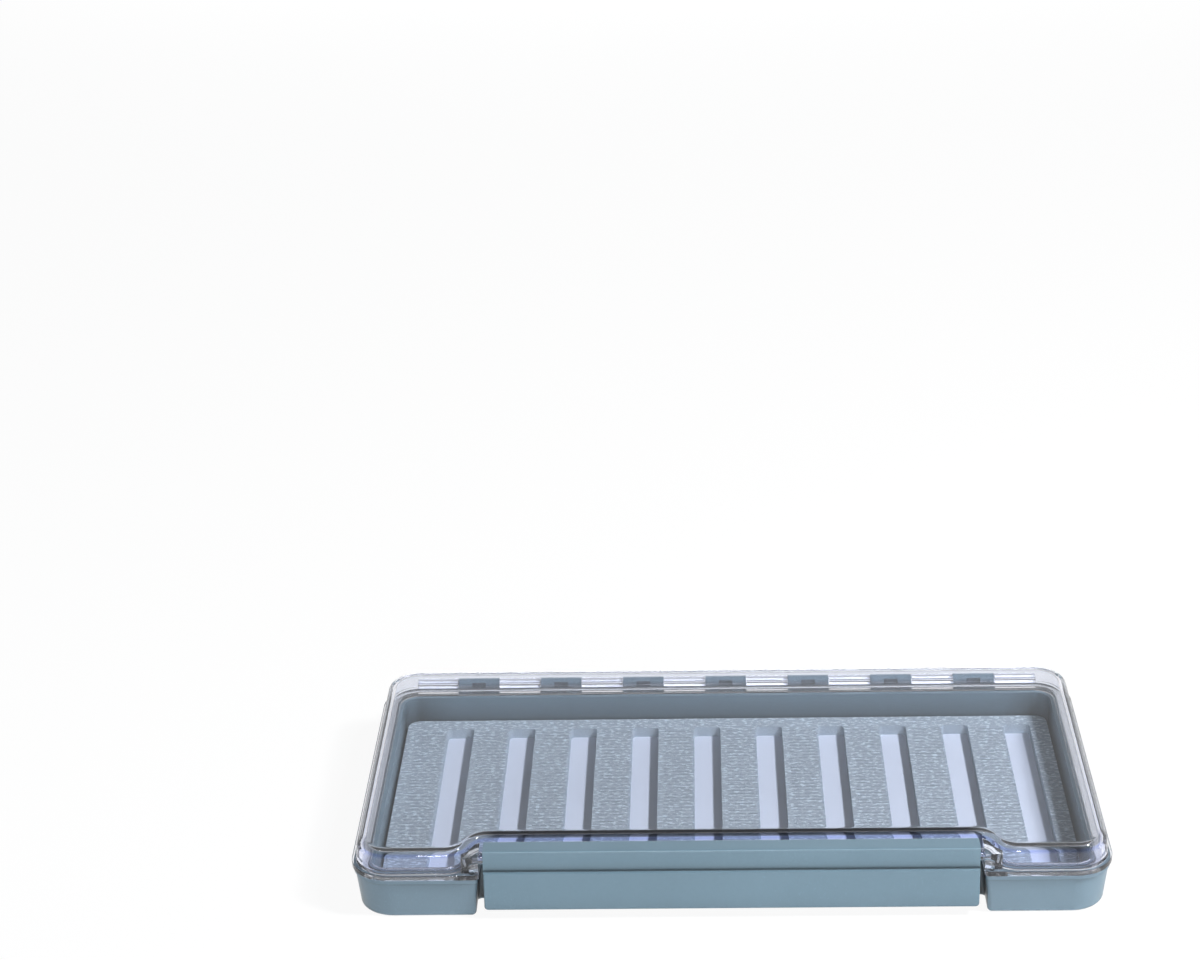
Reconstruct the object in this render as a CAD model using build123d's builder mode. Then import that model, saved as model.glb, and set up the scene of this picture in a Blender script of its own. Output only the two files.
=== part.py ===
from build123d import *

import os
from math import atan2, hypot, tan

# A slim waterproof fly box: a tray with a sealed rim, a clear lid on a long hinge and a full-width latch.
# Frame: +Z up, +Y towards the hinge, +X to the right seen from the latch side, millimetres.
# The origin is under the middle of the closed box, on the surface that it rests on.

# ---- Driving dimensions ----------------------------------------------------------------------------
rim_length = 198.8  # tray over its rim, left to right
rim_depth = 106.0  # tray over its rim, ear fronts to back edge
base_height = 11.8  # floor to the parting line
case_height = 20.0  # floor to the top of the lid
corner_radius = 9.6  # plan radius of the four outer corners
side_draft = 5.5  # degrees that the tray's walls lean in towards the floor
bottom_edge_radius = 1.1
floor_thickness = 1.2
floor_corner_radius = 0.6  # round between the floor and the inside of the wall

# The latch pocket: the middle of the front wall is set back between two ears
pocket_length = 132.0
pocket_depth = 8.3
pocket_corner_radius = 1.3
ear_corner_radius = 1.3
ear_hole_radius = 0.8  # small blind locating hole on the top of each ear
ear_hole_depth = 3.0
ear_hole_inset = 1.9  # from the pocket side and from the front of the ear

# The rim: outer band, gasket groove, inner lip
rim_band = 1.0
groove_width = 2.8
groove_depth = 2.4
inner_lip = 1.4
rim_lip_height = 1.1  # slightly proud band round the top of the tray
rim_lip_proud = 0.25
jog_side_wall = 1.9  # how far past the pocket side the groove starts to turn forward
jog_run = 3.1  # sideways run between the groove's two turns
turn_share = 0.48  # each turn's tangent takes this share of the run between the turns

# Gasket
gasket_side_clearance = 0.05
gasket_height = 2.0
gasket_top_round = 0.5

# Foam insert, on its white backing sheet and adhesive film
adhesive_thickness = 0.1
backing_thickness = 0.3
foam_thickness = 3.0
foam_wall_gap = 0.8
window_pitch = 18.0
window_width = 7.6
window_offset = 3.4  # the row of windows sits this far to the right of the middle
window_end_margin = 4.5  # least foam to the right of the last window
window_corner_radius = 1.2
window_back_margin = 5.4  # foam left behind the windows
window_front_margin = 6.0  # foam left in front of the first and last window, which are the long ones
window_front_step = 7.5  # the others end this much further back
tooth_pitch = 2.5
tooth_depth = 1.0

# Catch rail on the pocket wall
rail_end_gap = 5.7  # pocket side to the rail's end
rail_reach = 4.5
rail_thickness = 2.4
rail_drop = 3.0  # rim to the top of the rail
rail_corner = 1.2

# Hinge
hinge_end_margin = 8.0  # least distance from the knuckle row to the rim's ends
knuckle_pitch = 24.3
base_knuckle_width = 12.0
knuckle_side_gap = 0.15
hinge_offset = 3.0  # back edge of the rim to the pin's axis
pin_rise = 0.2  # rim to the pin's axis
barrel_radius = 2.2
pin_radius = 1.0
pin_press_clearance = 0.02
pin_running_clearance = 0.06
pin_recess = 0.5
knuckle_slot_length = 4.0
knuckle_slot_width = 0.9
slot_pin_wall = 0.45  # plastic between the slot and the pin's bore

# Lid
parting_gap = 0.1
lid_overhang = 0.7
flange_thickness = 1.5
flange_seal_cover = 0.4  # how far the flange reaches over the tray's inner lip
flange_ledge = 1.0  # width of the flange outside the lid's wall
flange_edge = 0.2  # round on the flange's edges
lid_wall = 1.8
lid_draft = 7.0
lid_top_radius = 2.5
lid_inner_radius = 1.0
seal_ridge_width = 1.4
seal_clearance = 0.3
boss_width = 4.5
boss_front_inset = 0.5
boss_top_cover = 0.3  # plastic over the peg
peg_radius = 1.15
peg_length = 5.0

# Latch bar
latch_proud = 0.8  # lower face in front of the ears
latch_step = 1.0  # upper face behind the lower one
latch_end_gap = 1.3
latch_bottom = 2.9
latch_ledge_drop = 5.8  # top of the latch to the top of its lower face
latch_ledge_chamfer = 0.4
latch_wall = 1.7
latch_corner_radius = 1.0
latch_edge_radius = 0.4
pivot_setback = 3.8  # front of the ears to the peg's axis
pivot_drop = 3.5  # top of the latch to the peg's axis
latch_flange_reach = 1.7  # top flange behind the peg's axis
latch_flange_thickness = 1.4
latch_lip_depth = 3.2
latch_lip_thickness = 1.4
latch_end_wall = 1.8
latch_rib_rise = 5.4  # latch bottom to the underside of the long rib
latch_rib_thickness = 1.1
latch_rib_reach = 1.7
peg_running_clearance = 0.06
notch_width = 1.9  # narrower than the peg, so that the latch snaps on
notch_arm = 0.9  # plastic below the peg's bore
hook_length = 27.0
hook_end_gap = 3.8  # rail's end to the hook's end
hook_engagement = 1.5  # hook under the rail
hook_clearance = 0.3  # hook below and in front of the rail
hook_thickness = 1.7
hook_gusset_rise = 8.0

# ---- Places worked out from them -------------------------------------------------------------------
overall_depth = latch_proud + rim_depth + hinge_offset + barrel_radius
front_y = latch_proud - overall_depth / 2
back_y = front_y + rim_depth
wall_y = front_y + pocket_depth
half_length = rim_length / 2
half_pocket = pocket_length / 2

pin_y = back_y + hinge_offset
pin_z = base_height + pin_rise
lid_knuckle_width = knuckle_pitch - base_knuckle_width - 2 * knuckle_side_gap
knuckle_room = rim_length - 2 * hinge_end_margin - lid_knuckle_width
base_knuckle_count = int(knuckle_room / knuckle_pitch)
lid_knuckle_count = base_knuckle_count + 1
knuckle_row = base_knuckle_count * knuckle_pitch + lid_knuckle_width

seal_inset = rim_band + groove_width / 2
wall_inset = rim_band + groove_width + inner_lip
inner_grow = seal_inset - wall_inset
foam_grow = inner_grow - foam_wall_gap
jog_in_x = half_pocket + jog_side_wall
jog_out_x = jog_in_x + jog_run
jog_length = hypot(jog_run, pocket_depth)
jog_radius = turn_share * jog_length / tan(atan2(pocket_depth, jog_run) / 2)

backing_z = floor_thickness + adhesive_thickness
foam_z = backing_z + backing_thickness
foam_half = half_length - seal_inset + foam_grow
window_room = 2 * (foam_half - window_end_margin - window_offset) - window_width
window_count = int(window_room / window_pitch) + 1

lid_z = base_height + parting_gap
flange_top = lid_z + flange_thickness
lid_wall_grow = seal_inset + lid_overhang - flange_ledge
flange_inner_grow = -(groove_width / 2 + flange_seal_cover)
pocket_ledge = seal_inset - lid_wall_grow  # what is left of the flange across the pocket
flange_edge_radius = min(flange_edge, pocket_ledge / 2, flange_thickness / 3)
gasket_top = base_height - groove_depth + gasket_height
rail_top = base_height - rail_drop
rail_bottom = rail_top - rail_thickness
rail_front = wall_y - rail_reach
half_rail = half_pocket - rail_end_gap

half_latch = half_pocket - latch_end_gap
latch_front = front_y - latch_proud
latch_upper_front = latch_front + latch_step
latch_ledge_z = case_height - latch_ledge_drop
pivot_y = front_y + pivot_setback
pivot_z = case_height - pivot_drop
latch_back = pivot_y + latch_flange_reach
bore_radius = peg_radius + peg_running_clearance


# ---- Shared outlines -------------------------------------------------------------------------------
def plan_points(side, ends):
    """Corners of the case's plan; side and ends are how far it stands outside the rim."""
    x = half_length + side
    y = front_y - ends
    left = [(-half_pocket, wall_y), (-half_pocket, y), (-x, y), (-x, back_y)]
    return left + [(-px, py) for px, py in reversed(left)]


def plan_face(side, ends):
    """The case's plan with round corners."""
    outer = corner_radius + side
    left = [pocket_corner_radius, ear_corner_radius, outer, outer]
    with BuildSketch(mode=Mode.PRIVATE) as plan:
        with BuildLine():
            FilletPolyline(*plan_points(side, ends), radius=left + left[::-1], close=True)
        make_face()
    return plan.sketch


def seal_face(grow):
    """The area inside the gasket's centreline, grown outwards by grow."""
    side_x = half_length - seal_inset
    ear_y = front_y + seal_inset
    pocket_y = wall_y + seal_inset
    corner = corner_radius - seal_inset
    right = [(jog_in_x, pocket_y), (jog_out_x, ear_y), (side_x, ear_y), (side_x, back_y - seal_inset)]
    radii = [jog_radius, jog_radius, corner, corner]
    left = [(-px, py) for px, py in reversed(right)]
    with BuildSketch(mode=Mode.PRIVATE) as area:
        with BuildLine():
            FilletPolyline(*right, *left, radius=radii + radii[::-1], close=True)
        make_face()
        if grow:
            offset(amount=grow)
    return area.sketch


def level_face(part, height):
    """The largest face that lies flat at one height."""
    faces = part.faces().filter_by(Plane.XY).filter_by_position(Axis.Z, height - 0.001, height + 0.001)
    return faces.sort_by(SortBy.AREA)[-1]


def bar_edges(part, y, z):
    """Edges along X through one point of a section."""
    return part.edges().filter_by(Axis.X).filter_by(
        lambda e: hypot(e.center().Y - y, e.center().Z - z) < 0.001
    )


def knuckle_planes(count):
    """One YZ plane through the middle of each knuckle of an evenly spaced row."""
    return [Plane.YZ.offset((i - (count - 1) / 2) * knuckle_pitch) for i in range(count)]


# ---- Tray ------------------------------------------------------------------------------------------
with BuildPart() as base_shell:
    # drafted block, upright corners first and then the edge round the floor
    with BuildSketch(Plane.XY.offset(base_height)):
        with BuildLine():
            Polyline(*plan_points(0, 0), close=True)
        make_face()
    extrude(amount=base_height, dir=(0, 0, -1), taper=side_draft)
    uprights = base_shell.edges().filter_by(lambda e: e.bounding_box().size.Z > base_height / 2)
    outer_corners = uprights.filter_by(lambda e: abs(e.center().X) > jog_out_x)
    pocket_edges = uprights.filter_by(lambda e: abs(e.center().X) <= jog_out_x)
    ear_edges = pocket_edges.filter_by(lambda e: e.center().Y < front_y + pocket_depth / 2)
    wall_edges = pocket_edges.filter_by(lambda e: e.center().Y >= front_y + pocket_depth / 2)
    fillet(outer_corners, corner_radius)
    fillet(ear_edges, ear_corner_radius)
    fillet(wall_edges, pocket_corner_radius)
    fillet(level_face(base_shell, 0).edges(), bottom_edge_radius)
    # band round the top
    with BuildSketch(Plane.XY.offset(base_height - rim_lip_height)):
        add(plan_face(rim_lip_proud, rim_lip_proud))
    extrude(amount=rim_lip_height)
    # catch rail across the pocket wall
    with BuildSketch(Plane.XY.offset(rail_bottom)):
        with BuildLine():
            Polyline(
                (-half_rail, wall_y + wall_inset / 2),
                (-half_rail, rail_front + rail_corner),
                (-half_rail + rail_corner, rail_front),
                (half_rail - rail_corner, rail_front),
                (half_rail, rail_front + rail_corner),
                (half_rail, wall_y + wall_inset / 2),
                close=True,
            )
        make_face()
    extrude(amount=rail_thickness)
    # hinge knuckles: a plate level with the rim that runs into a barrel
    with BuildSketch(*knuckle_planes(base_knuckle_count)):
        with BuildLine():
            Polyline(
                (back_y - wall_inset / 2, pin_z - barrel_radius),
                (pin_y, pin_z - barrel_radius),
                (pin_y, base_height),
                (back_y - wall_inset / 2, base_height),
                close=True,
            )
        make_face()
        with Locations((pin_y, pin_z)):
            Circle(barrel_radius)
    extrude(amount=base_knuckle_width / 2, both=True)
    with BuildSketch(Plane.YZ):
        with Locations((pin_y, pin_z)):
            Circle(pin_radius + pin_press_clearance)
    extrude(amount=knuckle_row, both=True, mode=Mode.SUBTRACT)
    slot_y = pin_y - pin_radius - pin_press_clearance - slot_pin_wall - knuckle_slot_width / 2
    with BuildSketch(Plane.XY.offset(pin_z)):
        with Locations((0, slot_y)):
            with GridLocations(knuckle_pitch, 1, base_knuckle_count, 1):
                Rectangle(knuckle_slot_length, knuckle_slot_width)
    extrude(amount=2 * barrel_radius, both=True, mode=Mode.SUBTRACT)
    # tray hollow, gasket groove and locating holes
    with BuildSketch(Plane.XY.offset(floor_thickness)):
        add(seal_face(inner_grow))
    extrude(amount=base_height, mode=Mode.SUBTRACT)
    fillet(level_face(base_shell, floor_thickness).edges(), floor_corner_radius)
    with BuildSketch(Plane.XY.offset(base_height - groove_depth)):
        add(seal_face(groove_width / 2))
        add(seal_face(-groove_width / 2), mode=Mode.SUBTRACT)
    extrude(amount=2 * groove_depth, mode=Mode.SUBTRACT)
    hole_x = half_pocket + ear_hole_inset
    hole_y = front_y + ear_hole_inset
    with Locations((-hole_x, hole_y, base_height), (hole_x, hole_y, base_height)):
        Hole(ear_hole_radius, ear_hole_depth)

# ---- Gasket ----------------------------------------------------------------------------------------
with BuildPart() as seal_gasket:
    half_gasket = groove_width / 2 - gasket_side_clearance
    with BuildSketch(Plane.XY.offset(base_height - groove_depth)):
        add(seal_face(half_gasket))
        add(seal_face(-half_gasket), mode=Mode.SUBTRACT)
    extrude(amount=gasket_height)
    fillet(level_face(seal_gasket, gasket_top).edges(), gasket_top_round)

# ---- Adhesive film, backing sheet and foam ---------------------------------------------------------
with BuildPart() as foam_adhesive:
    with BuildSketch(Plane.XY.offset(floor_thickness)):
        add(seal_face(foam_grow))
    extrude(amount=adhesive_thickness)

with BuildPart() as foam_backing:
    with BuildSketch(Plane.XY.offset(backing_z)):
        add(seal_face(foam_grow))
    extrude(amount=backing_thickness)

window_back = back_y - seal_inset + foam_grow - window_back_margin
long_front = front_y + seal_inset - foam_grow + window_front_margin
short_front = long_front + window_front_step

with BuildPart() as foam_insert:
    with BuildSketch(Plane.XY.offset(foam_z)):
        add(seal_face(foam_grow))
        for i in range(window_count):
            centre_x = window_offset + (i - (window_count - 1) / 2) * window_pitch
            left_x = centre_x - window_width / 2
            front = long_front if i in (0, window_count - 1) else short_front
            span = window_back - front
            with Locations((centre_x, front + span / 2)):
                RectangleRounded(window_width, span, window_corner_radius, mode=Mode.SUBTRACT)
            # saw teeth down the window's left side, clear of its round corners
            teeth = int((span - 2 * window_corner_radius) / tooth_pitch)
            with Locations((left_x, front + span / 2)):
                with GridLocations(1, tooth_pitch, 1, teeth):
                    with BuildLine():
                        Polyline(
                            (-tooth_depth, 0),
                            (0, -tooth_pitch / 2),
                            (tooth_depth, 0),
                            (0, tooth_pitch / 2),
                            close=True,
                        )
                    make_face(mode=Mode.SUBTRACT)
    extrude(amount=foam_thickness)

# ---- Hinge pin -------------------------------------------------------------------------------------
with BuildPart() as hinge_pin:
    with BuildSketch(Plane.YZ):
        with Locations((pin_y, pin_z)):
            Circle(pin_radius)
    extrude(amount=knuckle_row / 2 - pin_recess, both=True)

# ---- Lid -------------------------------------------------------------------------------------------
with BuildPart() as lid_shell:
    # wall and top, then the flange that covers the tray's rim
    with BuildSketch(Plane.XY.offset(flange_top)):
        add(seal_face(lid_wall_grow))
    extrude(amount=case_height - flange_top, taper=lid_draft)
    fillet(level_face(lid_shell, case_height).edges(), lid_top_radius)
    with BuildSketch(Plane.XY.offset(lid_z)):
        add(plan_face(lid_overhang, lid_overhang))
    extrude(amount=flange_thickness)
    fillet(level_face(lid_shell, lid_z).outer_wire().edges(), flange_edge_radius)
    fillet(level_face(lid_shell, flange_top).outer_wire().edges(), flange_edge_radius)
    # bosses on the ears' inner corners carry the latch's pegs
    boss_top = pivot_z + peg_radius + boss_top_cover
    for side in (-1, 1):
        with BuildSketch(Plane.XY.offset(lid_z)):
            with Locations((side * (half_pocket + boss_width / 2), wall_y)):
                Rectangle(boss_width, 2 * (pocket_depth - boss_front_inset))
        extrude(amount=boss_top - lid_z)
    # hinge knuckles
    with BuildSketch(*knuckle_planes(lid_knuckle_count)):
        with BuildLine():
            Polyline(
                (back_y - flange_ledge, lid_z),
                (pin_y, lid_z),
                (pin_y, pin_z + barrel_radius),
                (back_y - flange_ledge, pin_z + barrel_radius),
                close=True,
            )
        make_face()
        with Locations((pin_y, pin_z)):
            Circle(barrel_radius)
    extrude(amount=lid_knuckle_width / 2, both=True)
    with BuildSketch(Plane.YZ):
        with Locations((pin_y, pin_z)):
            Circle(pin_radius + pin_running_clearance)
    extrude(amount=knuckle_row, both=True, mode=Mode.SUBTRACT)
    # hollow, narrower at the flange
    with BuildSketch(Plane.XY.offset(lid_z)):
        add(seal_face(flange_inner_grow))
    extrude(amount=flange_thickness, mode=Mode.SUBTRACT)
    with BuildSketch(Plane.XY.offset(flange_top)):
        add(seal_face(lid_wall_grow - lid_wall))
    extrude(amount=case_height - lid_wall - flange_top, taper=lid_draft, mode=Mode.SUBTRACT)
    fillet(level_face(lid_shell, case_height - lid_wall).edges(), lid_inner_radius)
    # ridge that presses the gasket
    ridge_z = gasket_top + seal_clearance
    with BuildSketch(Plane.XY.offset(ridge_z)):
        add(seal_face(seal_ridge_width / 2))
        add(seal_face(-seal_ridge_width / 2), mode=Mode.SUBTRACT)
    extrude(amount=flange_top - ridge_z)
    # pegs, pointing into the pocket
    for side in (-1, 1):
        with BuildSketch(Plane.YZ.offset(side * (half_pocket + boss_width / 2))):
            with Locations((pivot_y, pivot_z)):
                Circle(peg_radius)
        extrude(amount=-side * (boss_width / 2 + peg_length))

# ---- Latch bar -------------------------------------------------------------------------------------
lower_inner = latch_front + latch_wall
upper_inner = latch_upper_front + latch_wall
lip_back = latch_front + latch_lip_depth

with BuildPart() as latch_bar:
    # C-shaped section
    with BuildSketch(Plane.YZ):
        with BuildLine():
            Polyline(
                (latch_front, latch_bottom),
                (latch_front, latch_ledge_z - latch_ledge_chamfer),
                (latch_front + latch_ledge_chamfer, latch_ledge_z),
                (latch_upper_front, latch_ledge_z),
                (latch_upper_front, case_height),
                (latch_back, case_height),
                (latch_back, case_height - latch_flange_thickness),
                (upper_inner, case_height - latch_flange_thickness),
                (upper_inner, latch_ledge_z - latch_step),
                (lower_inner, latch_ledge_z - 2 * latch_step),
                (lower_inner, latch_bottom + latch_lip_thickness),
                (lip_back, latch_bottom + latch_lip_thickness),
                (lip_back, latch_bottom),
                close=True,
            )
        make_face()
    extrude(amount=half_latch, both=True)
    # long stiffening rib
    with BuildSketch(Plane.YZ):
        with Locations((lower_inner, latch_bottom + latch_rib_rise)):
            Rectangle(latch_rib_reach, latch_rib_thickness, align=(Align.MIN, Align.MIN))
    extrude(amount=half_latch, both=True)
    # end walls
    bore_bottom = pivot_z - bore_radius
    for side in (-1, 1):
        with BuildSketch(Plane.YZ.offset(side * half_latch)):
            with BuildLine():
                Polyline(
                    (lower_inner - latch_wall / 2, latch_bottom),
                    (lip_back, latch_bottom),
                    (lip_back, bore_bottom - latch_end_wall),
                    (latch_back, bore_bottom - notch_arm),
                    (latch_back, case_height),
                    (upper_inner - latch_wall / 2, case_height),
                    (upper_inner - latch_wall / 2, latch_ledge_z),
                    (lower_inner - latch_wall / 2, latch_ledge_z - 2 * latch_step),
                    close=True,
                )
            make_face()
        extrude(amount=-side * latch_end_wall)
    # round the lower corners, then the long outer edges
    lower_edges = latch_bar.edges().filter_by(Axis.Y).group_by(Axis.Z)[0]
    corner_edges = lower_edges.filter_by(lambda e: abs(e.center().X) > half_latch - latch_end_wall / 2)
    fillet(corner_edges, latch_corner_radius)
    for y, z in (
        (latch_front, latch_bottom),
        (latch_upper_front, case_height),
        (latch_back, case_height),
        (lip_back, latch_bottom),
    ):
        fillet(bar_edges(latch_bar, y, z), latch_edge_radius)
    # snap notches round the pegs
    with BuildSketch(Plane.YZ):
        with Locations((pivot_y, pivot_z)):
            Circle(bore_radius)
        with Locations((pivot_y, pivot_z)):
            Rectangle(2 * latch_flange_reach, notch_width, align=(Align.MIN, Align.CENTER))
    extrude(amount=2 * half_latch, both=True, mode=Mode.SUBTRACT)
    # hooks that catch under the rail
    hook_top = rail_bottom - hook_clearance
    hook_root = rail_front - hook_clearance
    hook_tip = rail_front + hook_engagement
    hook_x = half_rail - hook_end_gap - hook_length / 2
    with BuildSketch(Plane.YZ.offset(-hook_x), Plane.YZ.offset(hook_x)):
        with BuildLine():
            Polyline(
                (lower_inner - latch_wall / 2, hook_top - hook_thickness),
                (hook_tip, hook_top - hook_thickness),
                (hook_tip, hook_top),
                (hook_root, hook_top),
                (lower_inner, hook_top + hook_gusset_rise),
                (lower_inner - latch_wall / 2, hook_top + hook_gusset_rise),
                close=True,
            )
        make_face()
    extrude(amount=hook_length / 2, both=True)

# ---- Export ----------------------------------------------------------------------------------------
os.makedirs("parts", exist_ok=True)

base_shell.part.label = "base_shell"
seal_gasket.part.label = "seal_gasket"
foam_adhesive.part.label = "foam_adhesive"
foam_backing.part.label = "foam_backing"
foam_insert.part.label = "foam_insert"
hinge_pin.part.label = "hinge_pin"
lid_shell.part.label = "lid_shell"
latch_bar.part.label = "latch_bar"

export_step(base_shell.part, "parts/base_shell.step")
export_step(seal_gasket.part, "parts/seal_gasket.step")
export_step(foam_adhesive.part, "parts/foam_adhesive.step")
export_step(foam_backing.part, "parts/foam_backing.step")
export_step(foam_insert.part, "parts/foam_insert.step")
export_step(hinge_pin.part, "parts/hinge_pin.step")
export_step(lid_shell.part, "parts/lid_shell.step")
export_step(latch_bar.part, "parts/latch_bar.step")
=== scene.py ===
import logging
import math
from dataclasses import dataclass
from enum import Enum

import bmesh
import bpy
from mathutils import Matrix, Vector


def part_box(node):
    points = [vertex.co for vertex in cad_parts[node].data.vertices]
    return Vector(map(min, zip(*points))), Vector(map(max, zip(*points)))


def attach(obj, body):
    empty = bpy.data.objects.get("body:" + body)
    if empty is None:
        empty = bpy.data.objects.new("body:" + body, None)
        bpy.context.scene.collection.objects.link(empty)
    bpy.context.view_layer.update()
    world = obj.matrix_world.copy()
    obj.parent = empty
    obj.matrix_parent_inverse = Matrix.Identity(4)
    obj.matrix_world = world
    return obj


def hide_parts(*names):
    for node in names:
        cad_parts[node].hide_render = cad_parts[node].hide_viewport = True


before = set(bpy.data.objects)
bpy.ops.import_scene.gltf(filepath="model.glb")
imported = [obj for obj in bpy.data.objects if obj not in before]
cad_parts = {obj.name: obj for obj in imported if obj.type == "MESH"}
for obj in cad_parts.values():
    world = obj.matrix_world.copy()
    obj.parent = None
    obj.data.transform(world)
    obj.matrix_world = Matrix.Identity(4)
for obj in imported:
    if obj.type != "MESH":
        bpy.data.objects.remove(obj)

Socket = bpy.types.NodeSocket
Colour = tuple[float, float, float]
Triple = tuple[float, float, float]
Band = tuple[float, float]

MM = 0.001
UNIT: Band = (0.0, 1.0)
FALLING: Band = (1.0, 0.0)
WHITE: Colour = (1.0, 1.0, 1.0)
LOG = logging.getLogger("fly_box")
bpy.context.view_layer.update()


class Body(Enum):
    """The three rigid bodies of the case."""

    BASE = "base"
    LID = "lid"
    LATCH = "latch"


class WindowKind(Enum):
    """The two lengths of window in the foam."""

    LONG = "long"
    SHORT = "short"


class Detail(Enum):
    """How many octaves a noise has."""

    SMOOTH = 1.0
    SOFT = 2.0
    FINE = 3.0
    RAGGED = 4.0


# ---- Node trees --------------------------------------------------------------------------------------


@dataclass
class Canvas:
    """A shader node tree with short calls for adding and joining nodes."""

    tree: bpy.types.NodeTree

    def add(self, kind: str, **settings) -> bpy.types.Node:
        """Adds a node.

        Args:
            kind: the node's type without its ShaderNode prefix.
            settings: properties of the node.

        Returns:
            The new node.
        """
        node = self.tree.nodes.new("ShaderNode" + kind)
        for name, value in settings.items():
            setattr(node, name, value)
        return node

    def feed(self, socket: Socket, value: Socket | float | tuple) -> None:
        """Links a socket to an input, or sets the input's own value.

        Args:
            socket: the input.
            value: an output socket, a number or a tuple.
        """
        if isinstance(value, bpy.types.NodeSocket):
            self.tree.links.new(value, socket)
        else:
            socket.default_value = value

    def math(self, operation: str, a: Socket | float, b: Socket | float = 0.0) -> Socket:
        """A Math node.

        Args:
            operation: its operation.
            a: the first input.
            b: the second input.

        Returns:
            The node's output.
        """
        node = self.add("Math", operation=operation)
        self.feed(node.inputs[0], a)
        self.feed(node.inputs[1], b)
        return node.outputs[0]

    def times(self, a: Socket, b: Socket | float) -> Socket:
        """The product of two values."""
        return self.math("MULTIPLY", a, b)

    def span(self, value: Socket, ends: Band, into: Band = UNIT) -> Socket:
        """A clamped Map Range node.

        Args:
            value: what is mapped.
            ends: the two values between which the result changes.
            into: the results at those two values.

        Returns:
            The mapped value.
        """
        node = self.add("MapRange")
        for socket, number in zip(node.inputs, (value, *ends, *into)):
            self.feed(socket, number)
        return node.outputs["Result"]

    def mix(self, share: Socket | float, a: Socket | Colour, b: Socket | Colour) -> Socket:
        """Mixes two colours.

        Args:
            share: how much of b shows.
            a: the first colour.
            b: the second colour.

        Returns:
            The mixed colour.
        """
        node = self.add("Mix", data_type="RGBA")
        sockets = [s for s in node.inputs if s.type == "RGBA"]
        self.feed(node.inputs["Factor"], share)
        for socket, colour in zip(sockets, (a, b)):
            self.feed(socket, colour if isinstance(colour, bpy.types.NodeSocket) else (*colour, 1.0))
        return next(s for s in node.outputs if s.type == "RGBA")

    def noise(self, place: Socket, scale: Socket | float, detail: Detail = Detail.SOFT) -> Socket:
        """A Noise texture.

        Args:
            place: the coordinates that it reads.
            scale: how many features fit in a metre.
            detail: its octaves.

        Returns:
            Its value, about 0.5 on average.
        """
        node = self.add("TexNoise")
        self.feed(node.inputs["Vector"], place)
        self.feed(node.inputs["Scale"], scale)
        node.inputs["Detail"].default_value = detail.value
        return node.outputs["Fac"]

    def streaks(self, place: Socket, scale: Triple, detail: Detail = Detail.SOFT) -> Socket:
        """A Noise texture with a scale of its own along each axis."""
        return self.noise(self.stretched(place, scale), 1.0, detail)

    def place(self) -> Socket:
        """The piece's own Object coordinates, in metres."""
        return self.add("TexCoord").outputs["Object"]

    def stretched(self, place: Socket, scale: Triple) -> Socket:
        """Coordinates squeezed or stretched along each axis.

        Args:
            place: the coordinates.
            scale: a factor for each axis.

        Returns:
            The new coordinates.
        """
        node = self.add("Mapping")
        self.feed(node.inputs["Vector"], place)
        node.inputs["Scale"].default_value = scale
        return node.outputs["Vector"]

    def axes(self, vector: Socket) -> tuple[Socket, Socket, Socket]:
        """Takes a vector apart.

        Args:
            vector: the vector.

        Returns:
            Its X, Y and Z.
        """
        node = self.add("SeparateXYZ")
        self.feed(node.inputs["Vector"], vector)
        return node.outputs["X"], node.outputs["Y"], node.outputs["Z"]

    def rise(self) -> Socket:
        """How level the surface is: 1 where it faces straight up or down, 0 where it is upright."""
        return self.math("ABSOLUTE", self.axes(self.add("TexCoord").outputs["Normal"])[2])


@dataclass(frozen=True)
class Effect:
    """A shader node group that several finishes share."""

    name: str
    inputs: tuple[tuple[str, str], ...]
    outputs: tuple[tuple[str, str], ...]

    def start(self) -> tuple[Canvas, dict[str, Socket], dict[str, Socket]]:
        """Makes the empty group.

        Returns:
            Its canvas, its inputs as sockets to read and its outputs as sockets to feed.
        """
        tree = bpy.data.node_groups.new(self.name, "ShaderNodeTree")
        for way, sockets in (("INPUT", self.inputs), ("OUTPUT", self.outputs)):
            for name, kind in sockets:
                tree.interface.new_socket(name, in_out=way, socket_type="NodeSocket" + kind)
        canvas = Canvas(tree)
        group_in = tree.nodes.new("NodeGroupInput")
        group_out = tree.nodes.new("NodeGroupOutput")
        reads = {name: group_in.outputs[name] for name, _ in self.inputs}
        feeds = {name: group_out.inputs[name] for name, _ in self.outputs}
        return canvas, reads, feeds

    def build(self) -> bpy.types.NodeTree:
        """Makes the group the first time it is called for.

        Returns:
            The group.
        """
        found = bpy.data.node_groups.get(self.name)
        if found:
            return found
        canvas, reads, feeds = self.start()
        self.fill(canvas, reads, feeds)
        return canvas.tree

    def fill(self, canvas: Canvas, reads: dict[str, Socket], feeds: dict[str, Socket]) -> None:
        """Puts the nodes in the group.

        Args:
            canvas: the group's canvas.
            reads: its inputs.
            feeds: its outputs.
        """
        raise NotImplementedError

    def use(self, canvas: Canvas, **values: Socket | float) -> dict[str, Socket]:
        """Places the group in a material.

        Args:
            canvas: the material's canvas.
            values: what feeds each input, by its name in lower case with underscores.

        Returns:
            The group's outputs by name.
        """
        node = canvas.add("Group")
        node.node_tree = self.build()
        for name, _ in self.inputs:
            key = name.lower().replace(" ", "_")
            if key in values:
                canvas.feed(node.inputs[name], values[key])
        return {name: node.outputs[name] for name, _ in self.outputs}


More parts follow.
